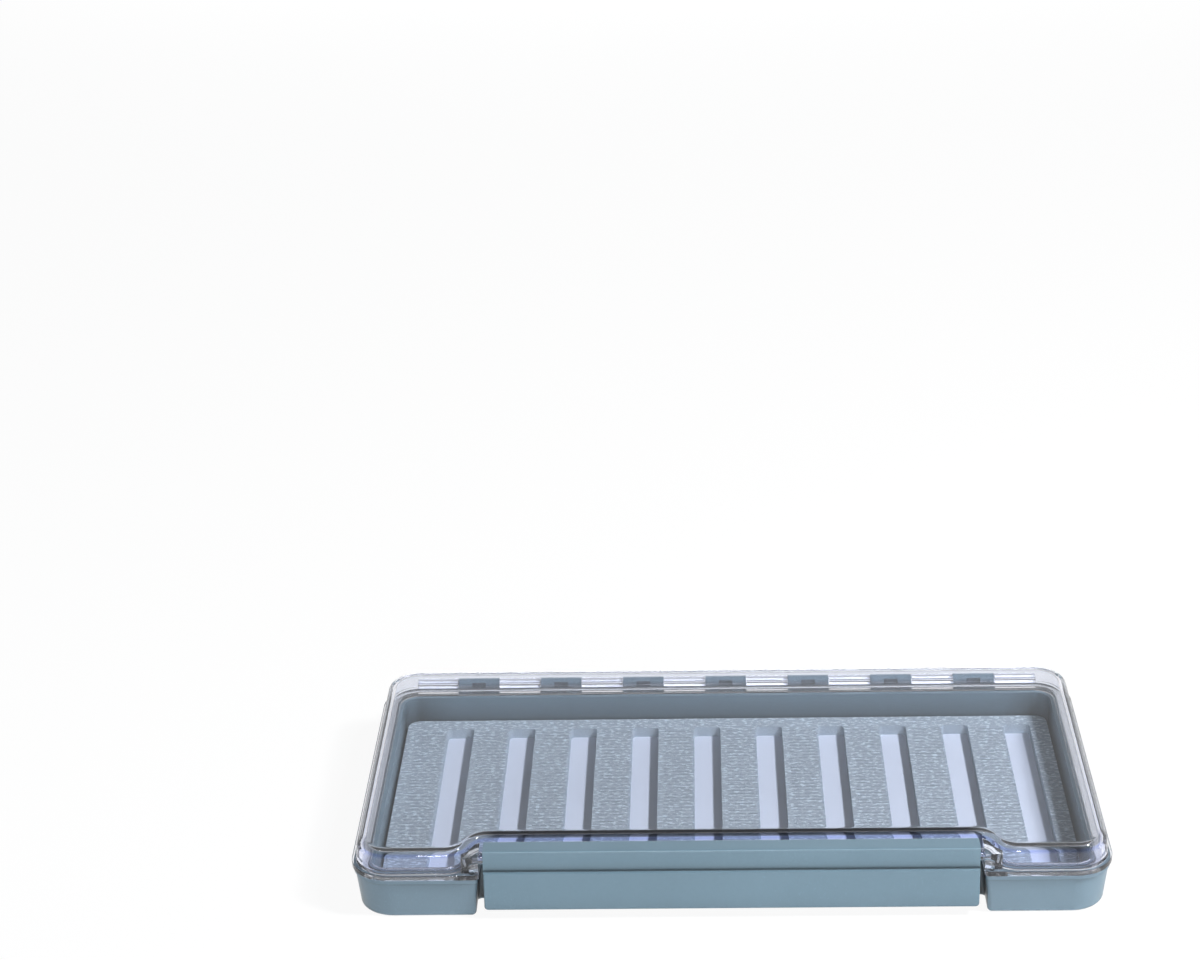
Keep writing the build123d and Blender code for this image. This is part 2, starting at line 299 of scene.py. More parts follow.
@dataclass(frozen=True)
class Drift(Effect):
    """Slow change of tone across a moulding, from uneven pigment and cooling."""

    broad_scale: float = 14.0
    broad_share: float = 0.5
    middle_scale: float = 70.0
    middle_share: float = 0.3
    fine_scale: float = 900.0
    fine_share: float = 0.2
    tones: Band = (0.3, 0.7)

    def fill(self, canvas: Canvas, reads: dict[str, Socket], feeds: dict[str, Socket]) -> None:
        """Adds up three sizes of noise and spreads the sum over 0 to 1.

        Args:
            canvas: the group's canvas.
            reads: its inputs.
            feeds: its outputs.
        """
        broad = canvas.noise(reads["Place"], self.broad_scale, Detail.SMOOTH)
        middle = canvas.noise(reads["Place"], self.middle_scale)
        fine = canvas.noise(reads["Place"], self.fine_scale)
        total = canvas.math(
            "ADD", canvas.times(broad, self.broad_share), canvas.times(middle, self.middle_share))
        total = canvas.math("ADD", total, canvas.times(fine, self.fine_share))
        canvas.feed(feeds["Value"], canvas.span(total, self.tones))


@dataclass(frozen=True)
class EdgeWear(Effect):
    """A mask of rubbed edges: where the rounded normal leaves the face's own, broken up by noise."""

    samples: int = 4
    turned: Band = (0.97, 0.8)
    patch_scale: float = 260.0
    patches: Band = (0.42, 0.62)

    def fill(self, canvas: Canvas, reads: dict[str, Socket], feeds: dict[str, Socket]) -> None:
        """Compares a bevelled normal with the face's normal.

        Args:
            canvas: the group's canvas.
            reads: its inputs.
            feeds: its outputs.
        """
        rounded = canvas.add("Bevel", samples=self.samples)
        canvas.feed(rounded.inputs["Radius"], reads["Radius"])
        dot = canvas.add("VectorMath", operation="DOT_PRODUCT")
        canvas.feed(dot.inputs[0], rounded.outputs["Normal"])
        canvas.feed(dot.inputs[1], canvas.add("NewGeometry").outputs["Normal"])
        edge = canvas.span(dot.outputs["Value"], self.turned)
        patches = canvas.span(canvas.noise(reads["Place"], self.patch_scale, Detail.RAGGED), self.patches)
        canvas.feed(feeds["Mask"], canvas.times(edge, patches))


@dataclass(frozen=True)
class Recess(Effect):
    """A mask of the piece's own corners and recesses, where painted shade darkens the colour."""

    samples: int = 4
    openness: Band = (0.45, 1.0)

    def fill(self, canvas: Canvas, reads: dict[str, Socket], feeds: dict[str, Socket]) -> None:
        """Takes how much of the view from a point the piece itself fills.

        Args:
            canvas: the group's canvas.
            reads: its inputs.
            feeds: its outputs.
        """
        hemmed = canvas.add("AmbientOcclusion", samples=self.samples, only_local=True)
        canvas.feed(hemmed.inputs["Distance"], reads["Reach"])
        canvas.feed(feeds["Mask"], canvas.span(hemmed.outputs["AO"], self.openness, FALLING))


@dataclass(frozen=True)
class TightGap(Effect):
    """A mask of the upright walls in the latch pocket that stand close to another piece, for painted shade
    there.
    """

    samples: int = 4
    wall_rise: Band = (0.2, 0.4)
    openness: Band = (0.35, 0.8)

    def fill(self, canvas: Canvas, reads: dict[str, Socket], feeds: dict[str, Socket]) -> None:
        """Takes how much of the view from an upright wall is filled, inside the pocket's width.

        Args:
            canvas: the group's canvas.
            reads: its inputs.
            feeds: its outputs.
        """
        near = canvas.add("AmbientOcclusion", samples=self.samples)
        canvas.feed(near.inputs["Distance"], reads["Reach"])
        upright = canvas.span(canvas.rise(), self.wall_rise, FALLING)
        across, along, _ = canvas.axes(reads["Place"])
        inside = canvas.math("LESS_THAN", canvas.math("ABSOLUTE", across), reads["Half"])
        forward = canvas.math("LESS_THAN", along, reads["Front"])
        pocket = canvas.times(upright, canvas.times(inside, forward))
        filled = canvas.span(near.outputs["AO"], self.openness, FALLING)
        canvas.feed(feeds["Mask"], canvas.times(pocket, filled))


@dataclass(frozen=True)
class Hairlines(Effect):
    """Fine handling scratches in two directions."""

    turns: Band = (0.45, -1.1)
    scales: tuple[Triple, Triple] = ((40.0, 2600.0, 900.0), (30.0, 2100.0, 900.0))
    line: Band = (0.66, 0.74)
    patch_scale: float = 45.0
    patches: Band = (0.45, 0.65)

    def fill(self, canvas: Canvas, reads: dict[str, Socket], feeds: dict[str, Socket]) -> None:
        """Cuts two stretched noises down to thin lines, in patches.

        Args:
            canvas: the group's canvas.
            reads: its inputs.
            feeds: its outputs.
        """
        lines = []
        for turn, scale in zip(self.turns, self.scales):
            turned = canvas.add("Mapping")
            canvas.feed(turned.inputs["Vector"], reads["Place"])
            turned.inputs["Rotation"].default_value = (0.0, 0.0, turn)
            streaks = canvas.streaks(turned.outputs["Vector"], scale, Detail.SMOOTH)
            lines.append(canvas.span(streaks, self.line))
        where = canvas.span(canvas.noise(reads["Place"], self.patch_scale), self.patches)
        canvas.feed(feeds["Mask"], canvas.times(canvas.math("MAXIMUM", *lines), where))


@dataclass(frozen=True)
class Specks(Effect):
    """Cells and specks of one size, as a height and a mask."""

    finer: float = 1.7
    speck: Band = (0.62, 1.15)

    def fill(self, canvas: Canvas, reads: dict[str, Socket], feeds: dict[str, Socket]) -> None:
        """Lays a finer noise over Voronoi cells.

        Args:
            canvas: the group's canvas.
            reads: its inputs.
            feeds: its outputs.
        """
        cells = canvas.add("TexVoronoi")
        canvas.feed(cells.inputs["Vector"], reads["Place"])
        canvas.feed(cells.inputs["Scale"], reads["Scale"])
        finer = canvas.noise(reads["Place"], canvas.times(reads["Scale"], self.finer), Detail.FINE)
        height = canvas.math("ADD", cells.outputs["Distance"], finer)
        canvas.feed(feeds["Height"], height)
        canvas.feed(feeds["Mask"], canvas.span(height, self.speck))


PLACE_IN = ("Place", "Vector")
MASK_OUT = ("Mask", "Float")
DRIFT = Drift("tone_drift", (PLACE_IN,), (("Value", "Float"),))
EDGE_WEAR = EdgeWear("edge_wear", (PLACE_IN, ("Radius", "Float")), (MASK_OUT,))
RECESS_SHADE = Recess("recess_painted_shade", (("Reach", "Float"),), (MASK_OUT,))
TIGHT_GAP = TightGap(
    "tight_gap_shade", (PLACE_IN, ("Reach", "Float"), ("Half", "Float"), ("Front", "Float")), (MASK_OUT,))
HAIRLINES = Hairlines("hairline_scratches", (PLACE_IN,), (MASK_OUT,))
SPECKS = Specks("specks", (PLACE_IN, ("Scale", "Float")), (("Height", "Float"), MASK_OUT))


# ---- Finishes ----------------------------------------------------------------------------------------


def bare_material(name: str) -> tuple[Canvas, bpy.types.Material]:
    """Makes a material without nodes.

    Args:
        name: its name.

    Returns:
        Its canvas and the material.
    """
    material = bpy.data.materials.new(name)
    material.use_nodes = True
    material.node_tree.nodes.clear()
    return Canvas(material.node_tree), material


@dataclass(frozen=True)
class Finish:
    """A named surface finish whose material is made by nodes."""

    name: str
    colour: Colour

    def start(self) -> tuple[Canvas, bpy.types.Node, bpy.types.Material]:
        """Makes a material with one Principled shader.

        Returns:
            Its canvas, the shader and the material.
        """
        canvas, material = bare_material(self.name)
        shader = canvas.add("BsdfPrincipled")
        output = canvas.add("OutputMaterial")
        canvas.feed(output.inputs["Surface"], shader.outputs["BSDF"])
        return canvas, shader, material

    def shade(self, factor: float) -> Colour:
        """The finish's colour, lighter or darker by a factor."""
        return tuple(min(1.0, channel * factor) for channel in self.colour)

    def bump(self, canvas: Canvas, shader: bpy.types.Node, height: Socket, depth: float) -> None:
        """Feeds a height through a Bump node.

        Args:
            canvas: the material's canvas.
            shader: the shader whose normal it sets.
            height: the height, about 0 to 1.
            depth: what 1 stands for, in metres.
        """
        node = canvas.add("Bump")
        node.inputs["Strength"].default_value = 1.0
        node.inputs["Distance"].default_value = depth
        canvas.feed(node.inputs["Height"], height)
        canvas.feed(shader.inputs["Normal"], node.outputs["Normal"])


@dataclass(frozen=True)
class MouldedPlastic(Finish):
    """Opaque injection-moulded plastic with a satin skin."""

    roughness: float = 0.34
    uneven: float = 0.05
    drift: float = 0.07
    grain_scale: float = 3200.0
    grain_depth: float = 0.004 * MM
    wear_radius: float = 0.35 * MM
    wear_share: float = 0.5
    wear_lift: float = 1.5
    scratch_share: float = 0.18
    scratch_matt: float = 0.1
    recess_reach: float = 14.0 * MM
    recess_shade_colour: Colour = (0.022, 0.025, 0.027)
    gap_reach: float = 8.0 * MM
    gap_shade_colour: Colour = (0.008, 0.009, 0.01)
    pocket_half: float = 67.0 * MM
    pocket_front: float = -44.0 * MM

    def material(self) -> bpy.types.Material:
        """Makes satin plastic with tone drift, fine grain, scratches, paler edges, and painted shade in
        recesses and in the latch pocket's tight gaps.

        Returns:
            The material.
        """
        canvas, shader, material = self.start()
        place = canvas.place()
        tone = DRIFT.use(canvas, place=place)["Value"]
        wear = EDGE_WEAR.use(canvas, place=place, radius=self.wear_radius)["Mask"]
        lines = HAIRLINES.use(canvas, place=place)["Mask"]
        worn = self.shade(self.wear_lift)
        body = canvas.mix(tone, self.shade(1 - self.drift), self.shade(1 + self.drift))
        rubbed = canvas.mix(canvas.times(wear, self.wear_share), body, worn)
        scratched = canvas.mix(canvas.times(lines, self.scratch_share), rubbed, worn)
        # Painted shade: the colour goes nearly black in the piece's own corners and recesses, and on the
        # pocket walls that stand close to another piece.
        recess = RECESS_SHADE.use(canvas, reach=self.recess_reach)["Mask"]
        gap = TIGHT_GAP.use(
            canvas, place=place, reach=self.gap_reach, half=self.pocket_half, front=self.pocket_front)["Mask"]
        dusted_and_shaded = canvas.mix(recess, scratched, self.recess_shade_colour)
        canvas.feed(shader.inputs["Base Color"], canvas.mix(gap, dusted_and_shaded, self.gap_shade_colour))
        matt = canvas.span(tone, UNIT, (self.roughness - self.uneven, self.roughness + self.uneven))
        scuffed = canvas.math("ADD", matt, canvas.times(lines, self.scratch_matt))
        canvas.feed(shader.inputs["Roughness"], scuffed)
        grain = SPECKS.use(canvas, place=place, scale=self.grain_scale)["Height"]
        self.bump(canvas, shader, grain, self.grain_depth)
        return material


@dataclass(frozen=True)
class ClearPlastic(Finish):
    """Water-clear moulded plastic that lets lamplight through to what it covers."""

    ior: float = 1.42
    clarity: float = 0.98
    haze: float = 0.015
    scratch_haze: float = 0.05
    tone_low: float = 0.985
    flow_scale: float = 30.0
    flow_depth: float = 0.03 * MM
    top_rise: Band = (0.97, 0.999)
    middle_rise: Band = (0.5, 0.62)
    foot_rise: Band = (0.04, 0.2)
    wall_rise: Band = (0.2, 0.4)
    upper_bend_shade: Colour = (0.145, 0.15, 0.175)
    bend_lower: Colour = (0.6, 0.66, 0.95)
    deep_half: float = 62.0 * MM
    deep_fade: float = 4.0 * MM
    deep_rest: float = 0.32
    deep_back: float = 32.0 * MM
    hinge_rest: float = 0.1
    shadow: float = 0.96
    wall_shadow: float = 0.5
    blue_front: float = -30.0 * MM
    blue_back: float = 45.0 * MM
    blue_left: float = 0.3

    def bends(self, canvas: Canvas) -> tuple[Socket, Socket, Socket]:
        """Masks of where a wall turns over, for the painted shade and blue tint of the bends and for the
        lid's shadow.

        Args:
            canvas: the material's canvas.

        Returns:
            The upper half of each bend, its lower half, and the upright walls.
        """
        rise = canvas.rise()
        upper = canvas.times(
            canvas.span(rise, self.middle_rise), canvas.span(rise, self.top_rise, FALLING))
        lower = canvas.times(
            canvas.span(rise, self.foot_rise), canvas.span(rise, self.middle_rise, FALLING))
        return upper, lower, canvas.span(rise, self.wall_rise, FALLING)

    def deepest(self, canvas: Canvas, across: Socket, along: Socket) -> Socket:
        """Where the painted shade in the upper half of a bend is darkest: over the latch, and not near the
        hinge.

        Args:
            canvas: the material's canvas.
            across: the place along X.
            along: the place along Y.

        Returns:
            1 over the latch, less elsewhere.
        """
        side_ends = (self.deep_half, self.deep_half + self.deep_fade)
        centred = canvas.span(canvas.math("ABSOLUTE", across), side_ends, (1.0, self.deep_rest))
        back_ends = (self.deep_back, self.deep_back + self.deep_fade)
        forward = canvas.span(along, back_ends, (1.0, self.hinge_rest))
        return canvas.times(centred, forward)

    def material(self) -> bpy.types.Material:
        """Makes glassy plastic with painted shade on the upper half of its bends, a blue tint on their lower
        half that is partly painted refraction, flow waves, scratches and a clear shadow.

        Returns:
            The material.
        """
        canvas, shader, material = self.start()
        place = canvas.place()
        shader.inputs["Transmission Weight"].default_value = self.clarity
        shader.inputs["IOR"].default_value = self.ior
        tone = DRIFT.use(canvas, place=place)["Value"]
        lines = HAIRLINES.use(canvas, place=place)["Mask"]
        upper, lower, upright = self.bends(canvas)
        across, along, _ = canvas.axes(place)
        # Painted shade and tint: the upper half of each bend goes dark, most over the latch, where dark
        # things would be seen through it; the lower half turns blue, partly the tint of thick plastic and
        # partly painted refraction, most at the front.
        blue = canvas.span(along, (self.blue_front, self.blue_back), (1.0, self.blue_left))
        upper = canvas.times(upper, self.deepest(canvas, across, along))
        body = canvas.mix(tone, self.shade(self.tone_low), self.shade(1.0))
        turned = canvas.mix(upper, body, self.upper_bend_shade)
        tinted = canvas.mix(canvas.times(lower, blue), turned, self.bend_lower)
        canvas.feed(shader.inputs["Base Color"], tinted)
        haze = canvas.math("MULTIPLY_ADD", lines, self.scratch_haze)
        haze.node.inputs[2].default_value = self.haze
        canvas.feed(shader.inputs["Roughness"], haze)
        flow = canvas.noise(place, self.flow_scale, Detail.SMOOTH)
        self.bump(canvas, shader, flow, self.flow_depth)
        clear = canvas.add("BsdfTransparent")
        shaded = canvas.mix(upper, self.shade(self.shadow), self.upper_bend_shade)
        canvas.feed(clear.inputs["Color"], canvas.mix(upright, shaded, self.shade(self.wall_shadow)))
        output = next(n for n in canvas.tree.nodes if n.type == "OUTPUT_MATERIAL")
        choose = canvas.add("MixShader")
        canvas.feed(choose.inputs["Fac"], canvas.add("LightPath").outputs["Is Shadow Ray"])
        canvas.feed(choose.inputs[1], shader.outputs["BSDF"])
        canvas.feed(choose.inputs[2], clear.outputs["BSDF"])
        canvas.feed(output.inputs["Surface"], choose.outputs["Shader"])
        return material


@dataclass(frozen=True)
class ClosedCellFoam(Finish):
    """Cut closed-cell foam: matt, finely pitted, with a brushed skin."""

    level_rise: Band = (0.5, 0.9)
    tones: Band = (0.8, 1.08)
    matt: Band = (0.85, 0.5)
    cell_scale: float = 2300.0
    cell_depth: float = 0.07 * MM
    cell_share: float = 0.3
    cell_shade: float = 0.6
    stroke_stretch: Triple = (300.0, 1500.0, 1500.0)
    stroke_band: Band = (0.35, 0.65)
    stroke_share: float = 0.45
    stroke_shade: float = 1.5
    grain_stretch: Triple = (650.0, 1500.0, 1500.0)
    grain_band: Band = (0.53, 0.63)
    grain_share: float = 0.8
    grain_shade: float = 2.3
    cut_shade: float = 1.25
    notch_reach: float = 0.8 * MM
    notch_shade: float = 0.45

    def material(self) -> bpy.types.Material:
        """Makes grey foam with pitted cells, a brushed top with pale grains that are partly a painted
        sparkle, smooth cut walls, and notches darkened by painted shade.

        Returns:
            The material.
        """
        canvas, shader, material = self.start()
        place = canvas.place()
        tone = DRIFT.use(canvas, place=place)["Value"]
        cells = SPECKS.use(canvas, place=place, scale=self.cell_scale)
        strokes = canvas.streaks(place, self.stroke_stretch, Detail.FINE)
        level = canvas.span(canvas.rise(), self.level_rise)
        strokes = canvas.times(canvas.span(strokes, self.stroke_band), level)
        grains = canvas.streaks(place, self.grain_stretch)
        grains = canvas.times(canvas.span(grains, self.grain_band), level)
        canvas.feed(shader.inputs["Roughness"], canvas.span(grains, UNIT, self.matt))
        body = canvas.mix(tone, *(self.shade(factor) for factor in self.tones))
        brushed = canvas.mix(
            canvas.times(strokes, self.stroke_share), body, self.shade(self.stroke_shade))
        # The pale grains are partly the foam's own speckle and partly a painted sparkle of lamplight.
        grain_and_glint = canvas.mix(canvas.times(grains, self.grain_share), brushed, self.shade(self.grain_shade))
        cut = canvas.mix(level, self.shade(self.cut_shade), grain_and_glint)
        pitted = canvas.mix(canvas.times(cells["Mask"], self.cell_share), cut, self.shade(self.cell_shade))
        # Painted shade: the notches and slits darken where the foam closes in around them.
        notch = RECESS_SHADE.use(canvas, reach=self.notch_reach)["Mask"]
        canvas.feed(shader.inputs["Base Color"], canvas.mix(notch, pitted, self.shade(self.notch_shade)))
        height = canvas.math("SUBTRACT", canvas.math("ADD", strokes, grains), cells["Mask"])
        self.bump(canvas, shader, height, self.cell_depth)
        return material


@dataclass(frozen=True)
class SiliconeRubber(Finish):
    """Soft white rubber with a little dust."""

    tone_low: float = 0.95
    matt: Band = (0.45, 0.6)
    dust_scale: float = 1400.0
    dust_share: float = 0.1
    dust_shade: float = 0.7
    dust_depth: float = 0.01 * MM

    def material(self) -> bpy.types.Material:
        """Makes white rubber, slightly uneven, with specks of dust.

        Returns:
            The material.
        """
        canvas, shader, material = self.start()
        place = canvas.place()
        tone = DRIFT.use(canvas, place=place)["Value"]
        dust = SPECKS.use(canvas, place=place, scale=self.dust_scale)
        body = canvas.mix(tone, self.shade(self.tone_low), self.shade(1.0))
        dusted_and_shaded = canvas.mix(canvas.times(dust["Mask"], self.dust_share), body, self.shade(self.dust_shade))
        canvas.feed(shader.inputs["Base Color"], dusted_and_shaded)
        canvas.feed(shader.inputs["Roughness"], canvas.span(tone, UNIT, self.matt))
        self.bump(canvas, shader, dust["Height"], self.dust_depth)
        return material


@dataclass(frozen=True)
class SheetFilm(Finish):
    """Thin white sheet or film with a faint fibre."""

    roughness: float = 0.5
    uneven: float = 0.06
    fibre: float = 0.05
    fibre_stretch: Triple = (3000.0, 300.0, 3000.0)
    fibre_band: Band = (0.4, 0.75)
    fibre_share: float = 0.5
    fibre_depth: float = 0.008 * MM

    def material(self) -> bpy.types.Material:
        """Makes a pale sheet with fibres and slow blotches.

        Returns:
            The material.
        """
        canvas, shader, material = self.start()
        place = canvas.place()
        tone = DRIFT.use(canvas, place=place)["Value"]
        fibres = canvas.streaks(place, self.fibre_stretch, Detail.FINE)
        body = canvas.mix(tone, self.shade(1 - self.fibre), self.shade(1.0))
        share = canvas.span(fibres, self.fibre_band, (0.0, self.fibre_share))
        canvas.feed(shader.inputs["Base Color"], canvas.mix(share, body, self.shade(1 - 2 * self.fibre)))
        matt = canvas.span(tone, UNIT, (self.roughness - self.uneven, self.roughness + self.uneven))
        canvas.feed(shader.inputs["Roughness"], matt)
        self.bump(canvas, shader, fibres, self.fibre_depth)
        return material


@dataclass(frozen=True)
class DrawnSteel(Finish):
    """Drawn steel wire with lengthways marks."""

    tone_low: float = 0.85
    matt: Band = (0.42, 0.58)
    mark_stretch: Triple = (25.0, 5000.0, 5000.0)
    mark_band: Band = (0.3, 0.7)
    mark_depth: float = 0.004 * MM

    def material(self) -> bpy.types.Material:
        """Makes bright metal with die lines along X.

        Returns:
            The material.
        """
        canvas, shader, material = self.start()
        place = canvas.place()
        shader.inputs["Metallic"].default_value = 1.0
        marks = canvas.streaks(place, self.mark_stretch)
        tone = DRIFT.use(canvas, place=place)["Value"]
        body = canvas.mix(tone, self.shade(self.tone_low), self.shade(1.0))
        canvas.feed(shader.inputs["Base Color"], body)
        canvas.feed(shader.inputs["Roughness"], canvas.span(marks, self.mark_band, self.matt))
        self.bump(canvas, shader, marks, self.mark_depth)
        return material


TRAY_PLASTIC = MouldedPlastic("tray_plastic_finish", (0.128, 0.19, 0.238))
LATCH_PLASTIC = MouldedPlastic("latch_plastic_finish", (0.116, 0.186, 0.236))
CLEAR_PLASTIC = ClearPlastic("clear_plastic_finish", (0.965, 0.975, 1.0))
GREY_FOAM = ClosedCellFoam("grey_foam_finish", (0.288, 0.342, 0.396))
WHITE_RUBBER = SiliconeRubber("white_rubber_finish", (0.9, 0.9, 0.9))
BACKING_SHEET = SheetFilm("backing_sheet_finish", (0.585, 0.635, 0.745))
ADHESIVE_FILM = SheetFilm("adhesive_film_finish", (0.75, 0.75, 0.7), roughness=0.35)
PIN_STEEL = DrawnSteel("pin_steel_finish", (0.95, 0.95, 0.96))


# ---- Meshes ------------------------------------------------------------------------------------------


def add_object(name: str, data: bpy.types.ID) -> bpy.types.Object:
    """Puts a mesh, lamp or camera in the scene.

    Args:
        name: the object's name.
        data: what it holds.

    Returns:
        The new object.
    """
    made = bpy.data.objects.new(name, data)
    bpy.context.scene.collection.objects.link(made)
    return made


def dress(name: str, finish: Finish, body: Body) -> None:
    """Gives a CAD node its finish.

    Args:
        name: the node.
        finish: what it is made of.
        body: what it rides on already, for the log.
    """
    material = bpy.data.materials.get(finish.name) or finish.material()
    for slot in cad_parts[name].material_slots:
        slot.material = material
    LOG.info("dressed %s on the %s in %s", name, body.value, finish.name)


def in_order(bm: bmesh.types.BMesh) -> None:
    """Puts the faces in order of place, so that every run makes the same mesh.

    Args:
        bm: the shape.
    """
    placed = sorted(bm.faces, key=lambda face: tuple(face.calc_center_median()))
    for index, face in enumerate(placed):
        face.index = index
    bm.faces.sort()


def piece_from(bm: bmesh.types.BMesh, name: str, body: Body, finish: Finish) -> bpy.types.Object:
    """Makes a finished piece from a bmesh, which it frees.

    Args:
        bm: the shape, where it lies on the case.
        name: the piece's name.
        body: what it rides on.
        finish: what it is made of.

    Returns:
        The new object.
    """
    mesh = bpy.data.meshes.new(name)
    bm.to_mesh(mesh)
    bm.free()
    piece = add_object(name, mesh)
    mesh.materials.append(bpy.data.materials.get(finish.name) or finish.material())
    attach(piece, body.value)
    LOG.info("built %s: %d faces", name, len(mesh.polygons))
    return piece


# ---- Sub-assemblies ----------------------------------------------------------------------------------


@dataclass
class Tray:
    """The grey tray with the gasket in its rim."""

    body: Body = Body.BASE
    shell: str = "base_shell"
    gasket: str = "seal_gasket"

    def build(self) -> None:
        """Dresses the tray and its gasket."""
        dress(self.shell, TRAY_PLASTIC, self.body)
        dress(self.gasket, WHITE_RUBBER, self.body)


@dataclass
class FoamBed:
    """The slotted foam with its backing sheet and adhesive film."""

    body: Body = Body.BASE
    node: str = "foam_insert"
    backing: str = "foam_backing"
    film: str = "foam_adhesive"
    windows: int = 10
    pitch: float = 18.0 * MM
    width: float = 7.6 * MM
    row_offset: float = 3.4 * MM
    back_margin: float = 5.4 * MM
    front_margin: float = 6.0 * MM
    short_step: float = 7.5 * MM
    corner: float = 1.2 * MM
    corner_steps: int = 4
    tooth_pitch: float = 1.85 * MM
    tooth_depth: float = 1.0 * MM
    slit_length: float = 7.8 * MM
    slit_width: float = 0.22 * MM
    merge_distance: float = 0.001 * MM

    def outline(self, bm: bmesh.types.BMesh) -> None:
        """Leaves the edge loop of the foam's top face in the bmesh, taken from the backing sheet.

        Args:
            bm: an empty bmesh.
        """
        bm.from_mesh(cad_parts[self.backing].data)
        bmesh.ops.remove_doubles(bm, verts=bm.verts, dist=self.merge_distance)
        top = max(v.co.z for v in bm.verts)
        low = [v for v in bm.verts if v.co.z < top - self.merge_distance]
        bmesh.ops.delete(bm, geom=low, context="VERTS")
        inner = [e for e in bm.edges if len(e.link_faces) == 2]
        bmesh.ops.delete(bm, geom=list(bm.faces), context="FACES_ONLY")
        bmesh.ops.delete(bm, geom=inner, context="EDGES")
        foam_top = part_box(self.node)[1].z
        bmesh.ops.translate(bm, verts=bm.verts, vec=(0.0, 0.0, foam_top - top))

    def window(self, bm: bmesh.types.BMesh, centre: float, kind: WindowKind) -> None:
        """Adds the edge loop of one window with its teeth and slits.

        Args:
            bm: the bmesh that holds the outline.
            centre: the window's middle along X.
            kind: its length.
        """
        low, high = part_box(self.node)
        back = high.y - self.back_margin
        front = low.y + self.front_margin
        if kind is WindowKind.SHORT:
            front += self.short_step
        middle = (front + back) / 2
        made = bmesh.ops.create_grid(bm, x_segments=1, y_segments=1, size=0.5)["verts"]
        size = Matrix.Diagonal((self.width, back - front, 1.0, 1.0))
        place = Matrix.Translation((centre, middle, high.z))
        bmesh.ops.transform(bm, matrix=place @ size, verts=made)
        bmesh.ops.bevel(
            bm, geom=made, offset=self.corner, segments=self.corner_steps, profile=0.5,
            affect="VERTICES", material=-1)
        left = centre - self.width / 2
        straight = [
            edge for edge in bm.faces[:][0].edges
            if all(abs(vert.co.x - left) < self.merge_distance for vert in edge.verts)]
        self.comb(bm, max(straight, key=lambda edge: edge.calc_length()), middle)
        inner = [e for e in bm.edges if len(e.link_faces) > 1]
        bmesh.ops.delete(bm, geom=list(bm.faces), context="FACES_ONLY")
        bmesh.ops.delete(bm, geom=inner, context="EDGES")

    def comb(self, bm: bmesh.types.BMesh, edge: bmesh.types.BMEdge, middle: float) -> None:
        """Turns a window's straight left edge into saw teeth with a knife slit behind each valley.

        Args:
            bm: the bmesh.
            edge: the straight edge.
            middle: the window's middle along Y.
        """
        length = edge.calc_length()
        teeth = int(length / self.tooth_pitch)
        end = (length - teeth * self.tooth_pitch) / 2
        cut = bmesh.ops.subdivide_edges(bm, edges=[edge], cuts=2 * teeth + 1)
        fresh = [g for g in cut["geom_inner"] if isinstance(g, bmesh.types.BMVert)]
        inner = sorted(fresh, key=lambda vert: vert.co.y)
        start = middle - length / 2 + end
        for count, vert in enumerate(inner):
            vert.co.y = start + count * self.tooth_pitch / 2
        valleys = inner[1::2]
        bmesh.ops.translate(bm, verts=valleys, vec=(-self.tooth_depth, 0.0, 0.0))
        before = set(bm.verts)
        bmesh.ops.bevel(
            bm, geom=valleys, offset=self.slit_width / 2, segments=1, profile=0.5,
            affect="VERTICES", material=-1)
        lips = [v for v in bm.verts if v not in before]
        mouths = [
            e for e in bm.edges
            if e.verts[0] in lips and e.verts[1] in lips and e.calc_length() < 2 * self.slit_width]
        grown = bmesh.ops.extrude_edge_only(bm, edges=mouths)["geom"]
        tips = [g for g in grown if isinstance(g, bmesh.types.BMVert)]
        bmesh.ops.translate(bm, verts=tips, vec=(-self.slit_length, 0.0, 0.0))

    def insert(self) -> bpy.types.Object:
        """Builds the foam with its windows, teeth and slits.

        Returns:
            The foam.
        """
        bm = bmesh.new()
        self.outline(bm)
        for index in range(self.windows):
            centre = self.row_offset + (index - (self.windows - 1) / 2) * self.pitch
            outer = index in (0, self.windows - 1)
            self.window(bm, centre, WindowKind.LONG if outer else WindowKind.SHORT)
        bmesh.ops.triangle_fill(bm, use_beauty=True, use_dissolve=False, edges=list(bm.edges))
        low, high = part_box(self.node)
        grown = bmesh.ops.extrude_face_region(bm, geom=list(bm.faces))["geom"]
        lower = [g for g in grown if isinstance(g, bmesh.types.BMVert)]
        bmesh.ops.translate(bm, verts=lower, vec=(0.0, 0.0, low.z - high.z))
        bmesh.ops.recalc_face_normals(bm, faces=bm.faces)
        in_order(bm)
        return piece_from(bm, "foam_insert_cut", self.body, GREY_FOAM)

    def build(self) -> None:
        """Builds the foam and dresses what is under it."""
        foam = self.insert()
        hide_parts(self.node)
        dress(self.backing, BACKING_SHEET, self.body)
        dress(self.film, ADHESIVE_FILM, self.body)


@dataclass
class Lid:
    """The clear lid."""

    body: Body = Body.LID
    shell: str = "lid_shell"

    def build(self) -> None:
        """Dresses the lid, and lets bounced light pass it, so that lamps don't count twice through it."""
        dress(self.shell, CLEAR_PLASTIC, self.body)
        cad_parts[self.shell].visible_diffuse = False


@dataclass
class Hinge:
    """The rod through all the knuckles."""

    body: Body = Body.BASE
    pin: str = "hinge_pin"

    def build(self) -> None:
        """Dresses the rod."""
        dress(self.pin, PIN_STEEL, self.body)


@dataclass
class Latch:
    """The grey bar across the pocket."""

    body: Body = Body.LATCH
    bar: str = "latch_bar"

    def build(self) -> None:
        """Dresses the bar."""
        dress(self.bar, LATCH_PLASTIC, self.body)


# ---- Studio ------------------------------------------------------------------------------------------


